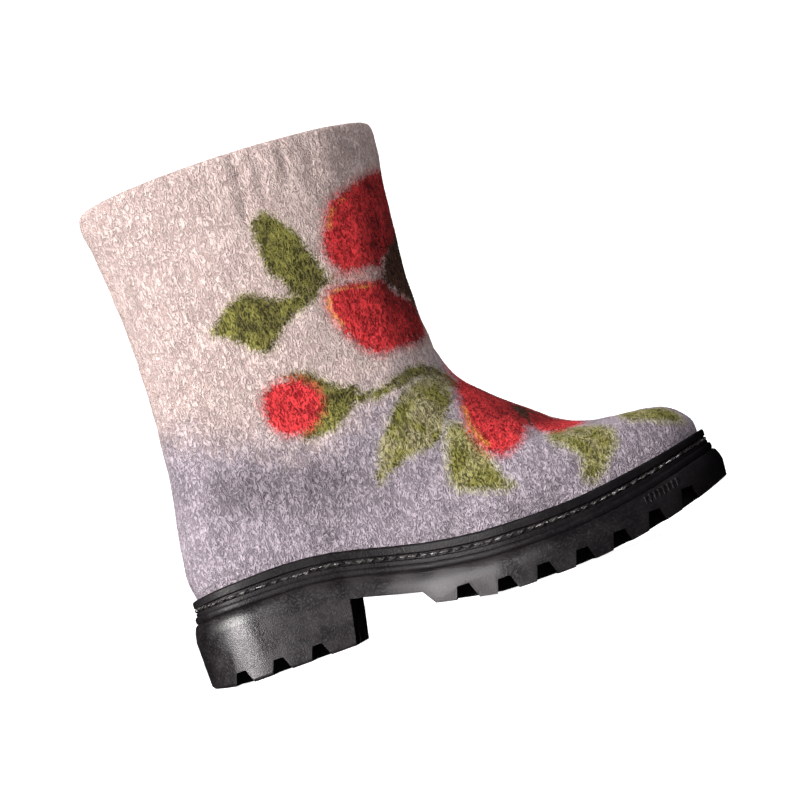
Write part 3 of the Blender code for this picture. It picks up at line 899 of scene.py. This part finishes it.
# Patches of painted shade on the grey foot, mirrored onto both sides
SHADE_PATCHES = (
    # line in mm, half width in mm, share of painted shade
    (((-96.0, -38.0, 92.0), (-72.0, -40.0, 88.0), (-46.0, -38.0, 78.0)), 30.0, 0.8),
    (((-122.0, -11.0, 142.0), (-119.0, -20.0, 130.0)), 14.0, 0.60),
    (((-20.0, -40.0, 98.0), (4.0, -38.0, 100.0)), 16.0, 0.35),
)
ALL_CREAM = 40.0
# At the shaft's front the petals are painted darker as shade, where the light falls off
# The front begins where this much of the outward direction points to the toe, and is full this much on
FRONT_STARTS = 0.80
FRONT_REACH = 0.20
FRONT_ABOVE = 120.0

line_x, line_z = np.array(TONE_LINE).T
above_grey = places[:, 2] / MM - np.interp(places[:, 0] / MM, line_x, line_z)
painted_shade = np.zeros(len(places))
for corners, half_width, share in SHADE_PATCHES:
    for side in (1.0, -1.0):
        mirrored = [(x, y * side, z) for x, y, z in corners]
        painted_shade = np.maximum(painted_shade, share * near_line(places, mirrored, half_width))
front_shade = np.clip((outward[:, 0] - FRONT_STARTS) / FRONT_REACH, 0, 1)
fields = dict(depths)
fields["painted_shade"] = painted_shade
fields["cream"] = np.where(outside, above_grey, ALL_CREAM)
fields["front"] = front_shade * (places[:, 2] > FRONT_ABOVE * MM)
fields["tint"] = np.zeros(len(places))
fields["loose"] = np.zeros(len(places))


def keep_fields(mesh, values):
    """Stores numbers on a mesh's points for its material to read."""
    for name, numbers in values.items():
        kept = mesh.attributes.new(name, "FLOAT", "POINT")
        kept.data.foreach_set("value", numbers.astype(np.float32))


keep_fields(shell, fields)

# %% [markdown]
# ## Felt
#
# Seen close, felt is a tangle of curled fibres pressed flat: pale crests and dark gaps, each a wavy
# stroke about two millimetres long. Noise folded about its middle value draws just such strokes. The
# same strokes lift the bump and darken the colour, because the gaps are deeper, and their dark colour
# is painted shade between the fibres. The coloured wools are mixed in afterwards, each with a frayed edge.

# %% Mix the felt
WOOL_COLOURS = {
    # wool: the gaps between its fibres, painted darker as shade, and their crests
    "cream": ((0.47, 0.345, 0.325), (0.79, 0.630, 0.600)),
    "lavender": ((0.240, 0.200, 0.235), (0.550, 0.468, 0.535)),
    # darker lavender, for random darker wool and for the patches of painted shade
    "lavender_dark": ((0.085, 0.070, 0.082), (0.295, 0.250, 0.285)),
    PETAL: ((0.260, 0.008, 0.012), (0.960, 0.062, 0.070)),
    "petal_shade": ((0.060, 0.004, 0.006), (0.420, 0.022, 0.026)),
    LEAF: ((0.045, 0.043, 0.009), (0.295, 0.275, 0.068)),
    "leaf_dark": ((0.022, 0.018, 0.006), (0.175, 0.158, 0.045)),
    SPRING_LEAF: ((0.085, 0.078, 0.026), (0.450, 0.410, 0.175)),
    GREY_LEAF: ((0.085, 0.074, 0.034), (0.470, 0.415, 0.230)),
    HEART: ((0.009, 0.005, 0.003), (0.105, 0.040, 0.022)),
    "halo": ((0.240, 0.205, 0.095), (0.600, 0.560, 0.330)),
    GLOW: ((0.55, 0.14, 0.02), (1.0, 0.50, 0.14)),
}
# Sizes of the patterns in the wool, in mm
CURL_SIZE = 1.8
FINE_SIZE = 0.7
WRINKLE_SIZE = 4.5
RAGGED_SIZE = 2.4
MOTTLE_SIZE = 11.0
TUFT_SIZE = 13.0
PATCH_SIZE = 22.0
# How far the wools run into each other, in mm
TONE_BLEND = 19.0
TONE_WANDER = 26.0
TONE_STREAKS = 30.0
EDGE_WANDER = 11.0
EDGE_SOFTNESS = 1.6
HALO_REACH = 1.4
SPRING_HALO_REACH = 2.6
PETAL_HALO_REACH = 2.8
PETAL_HALO_SOFTNESS = 2.2
GLOW_WANDER = 4.0
GLOW_SOFTNESS = 0.7
# Shares in the mix
FINE_SHARE = 0.7
# The wrinkles' share in the colour is painted shade in their troughs
WRINKLE_SHADE_IN_COLOUR = 0.9
WRINKLE_IN_RELIEF = 2.2
OWN_TINT_SHARE = 0.65
PETAL_HALO_STRENGTH = 0.42
GLOW_STRENGTH = 0.8
# The petals' dark red: darker wool near the heart and in tufts, and painted shade towards the shaft's front;
# how far it reaches from the heart and how its tufts wander, in mm, and its shares
SHADE_REACH = -15.0
SHADE_WANDER = 22.0
SHADE_NEAR_HEART = 0.85
SHADE_IN_TUFTS = 0.30
SHADE_AT_FRONT = 0.75
# Height of the relief, in mm
RELIEF = 0.9


def centred(tree, value, reach):
    """A noise value turned to run from about minus half the reach to plus half."""
    return times(tree, maths(tree, "SUBTRACT", value, 0.5), reach)


def frayed(tree, kind, wander, softness=EDGE_SOFTNESS):
    """The share of a coloured wool: its stored depth, moved by noise, as a soft edge."""
    return fade(tree, added(tree, field(tree, kind), wander), -softness, softness)


def tangle(tree):
    """How near the surface the fibres lie, for the bump and for the colour, with painted shade in the gaps
    and in the wrinkles' troughs, and the finest noise.
    """
    curl = clouds(tree, CURL_SIZE, detail=1.5, swirl=1.0, stretch=(1.0, 1.0, 0.55))
    fold = maths(tree, "ABSOLUTE", maths(tree, "SUBTRACT", curl, 0.5))
    stroke = fade(tree, fold, 0.0, 0.15, 1.0, 0.0)
    fine = clouds(tree, FINE_SIZE, swirl=0.6, shift=(0.5, 0.2, 0.1))
    wrinkle = clouds(tree, WRINKLE_SIZE, swirl=0.5, shift=(0.3, 0.9, 0.4), stretch=(1.0, 1.0, 0.5))
    fluff = added(tree, stroke, times(tree, fine, FINE_SHARE))
    relief = added(tree, fluff, centred(tree, wrinkle, WRINKLE_IN_RELIEF))
    return added(tree, fluff, centred(tree, wrinkle, WRINKLE_SHADE_IN_COLOUR)), relief, fine


def fibre_crest(tree, fluff, loose):
    """From 0 in the gaps between fibres, which are painted as shade, to 1 on their crests. A loose hair has
    its own tint.
    """
    woven = fade(tree, fluff, 0.15, 1.25)
    own = added(tree, field(tree, "tint"), 0.5)
    hair = added(tree, times(tree, own, OWN_TINT_SHARE), times(tree, woven, 1 - OWN_TINT_SHARE),
                 clamp=True)
    return shader_node(tree, "Mix", {0: loose, 2: woven, 3: hair}, data_type="FLOAT").outputs[0]


def two_tones(tree, wool, mottle, fine):
    """The shell's own wool: cream above the wandering line, and lavender below, with random darker wool and
    the patches of painted shade in it.
    """
    patch = clouds(tree, PATCH_SIZE, detail=3.0, rough=0.6, shift=(0.6, 0.2, 0.9))
    # Random darker wool and the stored patches of painted shade darken the lavender
    dark_wool_and_shade = maths(tree, "MAXIMUM", fade(tree, patch, 0.45, 0.70, 0.0, 0.40), field(tree, "painted_shade"))
    dark_wool_and_shade = added(tree, dark_wool_and_shade, centred(tree, patch, 0.35), clamp=True)
    lavender = blend(tree, dark_wool_and_shade, wool("lavender"), wool("lavender_dark"))
    tone = added(tree, field(tree, "cream"), centred(tree, mottle, TONE_WANDER))
    tone = added(tree, tone, centred(tree, fine, TONE_STREAKS))
    return blend(tree, fade(tree, tone, -TONE_BLEND, TONE_BLEND), lavender, wool("cream"))


def lay_flowers(tree, wool, colour):
    """Lays leaves, then petals, hearts and glowing strokes over a colour."""
    ragged = clouds(tree, RAGGED_SIZE, detail=3.0, swirl=1.4, rough=0.7, shift=(0.9, 0.3, 0.8))
    tuft = clouds(tree, TUFT_SIZE, detail=3.0, rough=0.6, shift=(0.4, 0.8, 0.1))
    edge = centred(tree, ragged, EDGE_WANDER)
    light_tufts = fade(tree, tuft, 0.42, 0.60)
    leaves = (
        # wool, its colour, strength of its halo, reach of its halo in mm
        (LEAF, blend(tree, fade(tree, tuft, 0.40, 0.62), wool("leaf_dark"), wool(LEAF)), 0.38, HALO_REACH),
        (SPRING_LEAF, blend(tree, light_tufts, wool(LEAF), wool(SPRING_LEAF)), 0.60, SPRING_HALO_REACH),
        (GREY_LEAF, blend(tree, light_tufts, wool(GREY_LEAF), wool(LEAF)), 0.30, HALO_REACH),
    )
    for kind, body, strength, reach in leaves:
        halo = times(tree, frayed(tree, kind, added(tree, edge, reach)), strength)
        colour = blend(tree, halo, colour, wool("halo"))
        colour = blend(tree, frayed(tree, kind, edge), colour, body)

    near_heart = added(tree, field(tree, HEART), centred(tree, tuft, SHADE_WANDER))
    front_shade = added(tree, field(tree, "front"), centred(tree, tuft, 0.9))
    shade = added(tree, fade(tree, near_heart, SHADE_REACH, 1.0, 0.0, SHADE_NEAR_HEART),
                  fade(tree, tuft, 0.50, 0.70, 0.0, SHADE_IN_TUFTS))
    # Painted shade: the petals darken towards the shaft's front
    shade = added(tree, shade, fade(tree, front_shade, 0.2, 1.0, 0.0, SHADE_AT_FRONT), clamp=True)
    petal = blend(tree, shade, wool(PETAL), wool("petal_shade"))
    halo = frayed(tree, PETAL, added(tree, edge, PETAL_HALO_REACH), PETAL_HALO_SOFTNESS)
    colour = blend(tree, times(tree, halo, PETAL_HALO_STRENGTH), colour, petal)
    colour = blend(tree, frayed(tree, PETAL, edge), colour, petal)
    colour = blend(tree, frayed(tree, HEART, edge), colour, wool(HEART))
    glow = frayed(tree, GLOW, centred(tree, ragged, GLOW_WANDER), GLOW_SOFTNESS)
    return blend(tree, times(tree, glow, GLOW_STRENGTH), colour, wool(GLOW))


def mix_felt(name, flowers):
    """Felt of cream wool, or of all the wools that the shell's fields place."""
    material, tree, shader = new_material(name, Roughness=0.93, Specular_IOR_Level=0.12,
                                          Sheen_Weight=0.04, Sheen_Roughness=0.5)
    fluff, relief, fine = tangle(tree)
    loose = field(tree, "loose")
    crest = fibre_crest(tree, fluff, loose)

    def wool(kind):
        shaded_gap, top = WOOL_COLOURS[kind]
        return blend(tree, crest, (*shaded_gap, 1.0), (*top, 1.0))

    mottle = clouds(tree, MOTTLE_SIZE, detail=3.0, rough=0.6, shift=(0.1, 0.4, 0.2))
    colour = lay_flowers(tree, wool, two_tones(tree, wool, mottle, fine)) if flowers else wool("cream")
    colour = blend(tree, 1.0, colour, fade(tree, mottle, 0.3, 0.7, 0.92, 1.06), "MULTIPLY")
    height = times(tree, relief, maths(tree, "SUBTRACT", 1.0, loose))
    feed(tree, shader, colour, height=height, height_mm=RELIEF)
    return material


felt = mix_felt("felt_with_flowers", flowers=True)
plain_felt = mix_felt("plain_felt", flowers=False)

for face in shell.polygons:
    face.use_smooth = True
add_piece("felt_shell", shell, felt, stands_for=["upper"])

# %% [markdown]
# ## The insole
#
# A sheet of the same felt lies inside on the midsole. It only shows from above, so a bevel on the packed
# piece is enough shape for it.

# %% Finish the insole
INSOLE_ROUNDING = 0.8

insole = merged_copy("insole")
round_hard_edges(insole, INSOLE_ROUNDING)
add_piece("insole_felt", insole, plain_felt, stands_for=["insole"])

# %% [markdown]
# ## Loose fibres
#
# What tells felt from cloth at a glance is its nap: short curled hairs that stand a little off the
# surface and blur its outline. Each hair here is a spindle of six triangles, bent once. Hairs are strewn
# by area over the outside and round the rim, and take the wool's colour from the point where they are
# rooted, so red hairs cross onto cream at a petal's edge as real ones do. They stand for the longest
# fibres only, and the noise above stands for the rest, so that the model stays light.

# %% Shape one hair
def spindle():
    """A thin double cone along X, one unit long and about one unit thick, as points and triangles."""
    mesh = bmesh.new()
    bmesh.ops.create_uvsphere(mesh, u_segments=3, v_segments=2, radius=0.5)
    bmesh.ops.rotate(mesh, verts=mesh.verts, matrix=Matrix.Rotation(math.radians(90), 3, "Y"))
    bmesh.ops.triangulate(mesh, faces=mesh.faces)
    mesh.verts.index_update()
    corners = np.array([list(v.co) for v in mesh.verts])
    faces = np.array([[v.index for v in f.verts] for f in mesh.faces])
    mesh.free()
    return corners, faces


hair_corners, hair_faces = spindle()
print(f"hair: {len(hair_corners)} points and {len(hair_faces)} triangles")

# %% Find where hairs grow
BARE_BELOW_RIM_INSIDE = 22.0

shell.calc_loop_triangles()
corner_index = np.zeros((len(shell.loop_triangles), 3), dtype=int)
shell.loop_triangles.foreach_get("vertices", corner_index.ravel())
shell_points = np.zeros((len(shell.vertices), 3))
shell.vertices.foreach_get("co", shell_points.ravel())
rim_top = shell_points[:, 2].max()
near_rim = (shell_points[corner_index][:, :, 2] > rim_top - BARE_BELOW_RIM_INSIDE * MM).all(1)
haired = corner_index[outside[corner_index].all(1) | near_rim]
triangle = shell_points[haired]
facing = np.cross(triangle[:, 1] - triangle[:, 0], triangle[:, 2] - triangle[:, 0])
area = np.linalg.norm(facing, axis=1) / 2
facing = facing / (2 * area[:, None])
print(f"haired area: {area.sum() / MM**2 / 100:.0f} square cm")

# %% Strew the hairs
HAIR_PIECES = 4
HAIRS_A_PIECE = 29000
FIRST_SEED = 40
HAIR_LENGTH = (0.9, 2.3)
HAIR_THICKNESS = (0.11, 0.22)
# Hairs lie more up and down the boot than round it. They rise and curl by shares of their length, and
# hump by a share of their thickness
HAIR_LEAN = (1.0, 1.0, 2.2)
HAIR_RISE = (-0.16, 0.30)
HAIR_CURL = 0.22
HAIR_HUMP = 0.30
NEAR_MIDDLE = 0.1
TINT_SPREAD = 0.17
TINT_LIMIT = 0.5
# A hair sheds its wool this far over an edge, in mm, but keeps the shades that change slowly
SHED_STEP = 1.5
SLOW_SHADES = ("painted_shade", "front")


def unit(vectors):
    return vectors / np.linalg.norm(vectors, axis=1)[:, None]


def joined_triangles(name, points, faces):
    """Many loose triangles as one smooth mesh."""
    mesh = bpy.data.meshes.new(name)
    mesh.vertices.add(len(points))
    mesh.vertices.foreach_set("co", points.ravel())
    mesh.loops.add(faces.size)
    mesh.loops.foreach_set("vertex_index", faces.ravel().astype(np.int32))
    mesh.polygons.add(len(faces))
    mesh.polygons.foreach_set("loop_start", np.arange(0, faces.size, 3, dtype=np.int32))
    mesh.polygons.foreach_set("use_smooth", np.ones(len(faces), dtype=bool))
    mesh.update(calc_edges=True)
    return mesh


def strew(name, seed, count):
    """One piece of hairs: a joined mesh of turned, stretched spindles with the colours of their roots."""
    luck = np.random.default_rng(seed)
    pick = luck.choice(len(haired), count, p=area / area.sum())
    weight = luck.dirichlet((1, 1, 1), count)
    root = (triangle[pick] * weight[:, :, None]).sum(1)
    up = facing[pick]
    lean = luck.normal(size=(count, 3)) * HAIR_LEAN
    along = unit(lean - up * (lean * up).sum(1)[:, None])
    across = np.cross(up, along)
    along = unit(along + up * luck.uniform(*HAIR_RISE, count)[:, None])
    up = np.cross(along, across)
    length = luck.uniform(*HAIR_LENGTH, count)[:, None, None] * MM
    thick = luck.uniform(*HAIR_THICKNESS, count)[:, None, None] * MM
    bent = np.abs(hair_corners[:, 0]) < NEAR_MIDDLE
    local = hair_corners[None] * np.concatenate([length, thick, thick], axis=2)
    local[:, bent, 2] += HAIR_HUMP * thick[:, 0]
    local[:, bent, 1] += luck.normal(scale=HAIR_CURL, size=(count, 1)) * length[:, 0]
    axes = np.stack([along, across, up], axis=1)
    points = root[:, None] + local @ axes
    faces = hair_faces[None] + (np.arange(count) * len(hair_corners))[:, None, None]
    mesh = joined_triangles(name, points.reshape(-1, 3), faces.reshape(-1, 3))
    values = {}
    for key in [*WOOLS, "cream", *SLOW_SHADES]:
        at_root = (fields[key][haired[pick]] * weight).sum(1)
        shed = 0.0 if key in SLOW_SHADES else luck.normal(scale=SHED_STEP, size=count)
        values[key] = np.repeat(at_root + shed, len(hair_corners))
    tint = luck.normal(scale=TINT_SPREAD, size=count).clip(-TINT_LIMIT, TINT_LIMIT)
    values["tint"] = np.repeat(tint, len(hair_corners))
    values["loose"] = np.ones(count * len(hair_corners))
    keep_fields(mesh, values)
    return mesh


for number in range(HAIR_PIECES):
    name = f"felt_nap_{number + 1}"
    add_piece(name, strew(name, FIRST_SEED + number, HAIRS_A_PIECE), felt)

# %% [markdown]
# ## Floor and light
#
# The boot is shown on a white sweep: a disc whose edge turns up into a low wall, spun in one go from a
# profile, so that no horizon shows from any side. The paper glows by itself and is hidden from the boot's
# own light, so that it stays white and doesn't wash out the shade under the sole.

# %% Spin the sweep
FLOOR_RADIUS = 3.2
WALL_HEIGHT = 2.6
TURN_RADIUS = 0.9
TURN_STEPS = 12
SPIN_STEPS = 96
POLE_MERGE = 0.1
PAPER_GLOW = 0.97

flat_radius = FLOOR_RADIUS - TURN_RADIUS
profile = [Vector((0, 0, 0)), Vector((flat_radius, 0, 0))]
for step in range(1, TURN_STEPS + 1):
    angle = math.pi / 2 * step / TURN_STEPS
    profile.append(Vector((flat_radius + TURN_RADIUS * math.sin(angle), 0,
                           TURN_RADIUS * (1 - math.cos(angle)))))
profile.append(Vector((FLOOR_RADIUS, 0, WALL_HEIGHT)))

sweep = bmesh.new()
corners = [sweep.verts.new(place) for place in profile]
edges = [sweep.edges.new(pair) for pair in zip(corners, corners[1:])]
bmesh.ops.spin(sweep, geom=corners + edges, cent=(0, 0, 0), axis=(0, 0, 1), angle=2 * math.pi,
               steps=SPIN_STEPS, use_merge=True)
bmesh.ops.remove_doubles(sweep, verts=sweep.verts, dist=POLE_MERGE * MM)
bmesh.ops.recalc_face_normals(sweep, faces=sweep.faces)
for face in sweep.faces:
    face.smooth = True
    if face.normal.z < 0 and face.calc_center_median().z < MM:
        face.normal_flip()
studio = in_scene("studio_sweep", mesh_of("studio_sweep", sweep))
paper, tree, shader = new_material("white_paper", Base_Color=(0.55, 0.55, 0.55, 1.0), Roughness=0.9,
                                   Emission_Color=(1.0, 1.0, 1.0, 1.0), Emission_Strength=PAPER_GLOW)
studio.data.materials.append(paper)
studio.visible_diffuse = False
studio.visible_glossy = False
studio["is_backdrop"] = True

# %% [markdown]
# The light comes from the heel's side, large and soft, with weak fills from the front, from above and
# from the far side. Black rubber shows what it mirrors, and a fill that it mirrors turns it grey. So the
# fills aren't mirrored, and neither is the pale air round the boot. One low lamp works the other way: it
# is there only to be mirrored, and gives the heel its sheen.

# %% Hang the lights
LIGHTS = (
    # name, place, size, watts, colour, what it lights
    ("window_at_the_heel", (-1.35, -1.25, 0.62), 1.0, 60.0, (1.0, 0.985, 0.965), "all"),
    ("sheen_on_the_heel", (-1.22, -1.38, 0.06), 0.6, 30.0, (1.0, 0.92, 0.95), "gloss"),
    ("front_fill", (0.7, -2.4, 1.2), 1.6, 20.0, (0.97, 0.98, 1.0), "body"),
    ("top", (-0.4, 0.2, 2.3), 1.6, 26.0, (1.0, 1.0, 1.0), "body"),
    ("far_side_fill", (0.3, 2.2, 1.3), 1.6, 22.0, (1.0, 0.99, 0.98), "body"),
)
MIDDLE = Vector((0.0, 0.0, 0.12))
AIR_LIGHT = 0.28

for name, place, size, watts, colour, reach in LIGHTS:
    lamp = bpy.data.lights.new(name, "AREA")
    lamp.shape = "DISK"
    lamp.size = size
    lamp.energy = watts
    lamp.color = colour
    holder = in_scene(name, lamp)
    holder.location = place
    holder.rotation_euler = (MIDDLE - Vector(place)).to_track_quat("-Z", "Y").to_euler()
    holder.visible_glossy = reach in ("all", "gloss")
    holder.visible_diffuse = reach in ("all", "body")

air = bpy.data.worlds.new("studio_air")
air.use_nodes = True
background = air.node_tree.nodes["Background"].inputs
background["Color"].default_value = (1.0, 1.0, 1.0, 1.0)
background["Strength"].default_value = AIR_LIGHT
air.cycles_visibility.glossy = False
bpy.context.scene.world = air
bpy.context.scene.view_settings.view_transform = "Standard"

# %% [markdown]
# ## Camera
#
# The boot was photographed nearly level from its outer side, a few degrees towards the toe, with the
# camera turned so that the sole climbs to the right. The lens is long, so the boot keeps its proportions.

# %% Place the camera
CAMERA_AZIMUTH = 3.654
CAMERA_DISTANCE = 1.4154
CAMERA_HEIGHT = 0.0274
CAMERA_ROLL = 19.80
LENS = 125.0
SENSOR = 36.0
SHIFT_RIGHT = 0.004
SHIFT_UP = -0.026
NEAREST = 0.05

turn = math.radians(CAMERA_AZIMUTH)
eye = Vector((CAMERA_DISTANCE * math.sin(turn), -CAMERA_DISTANCE * math.cos(turn), CAMERA_HEIGHT))
camera_data = bpy.data.cameras.new("camera")
camera_data.lens = LENS
camera_data.sensor_width = SENSOR
camera_data.shift_x = SHIFT_RIGHT
camera_data.shift_y = SHIFT_UP
camera_data.clip_start = NEAREST
camera = in_scene("camera", camera_data)
level = (MIDDLE - eye).to_track_quat("-Z", "Y").to_matrix()
rolled = level @ Matrix.Rotation(-math.radians(CAMERA_ROLL), 3, "Z")
camera.matrix_world = Matrix.Translation(eye) @ rolled.to_4x4()
bpy.context.scene.camera = camera
print(f"camera: {(MIDDLE - eye).length:.3f} m from the boot's middle")

# %% Write both boxes and finish
low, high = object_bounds()
growth = [round(((b - a) - (d - c)) / MM, 2) for a, b, c, d in zip(low, high, cad_low, cad_high)]
print("visual box against the packed box, in mm:", growth)
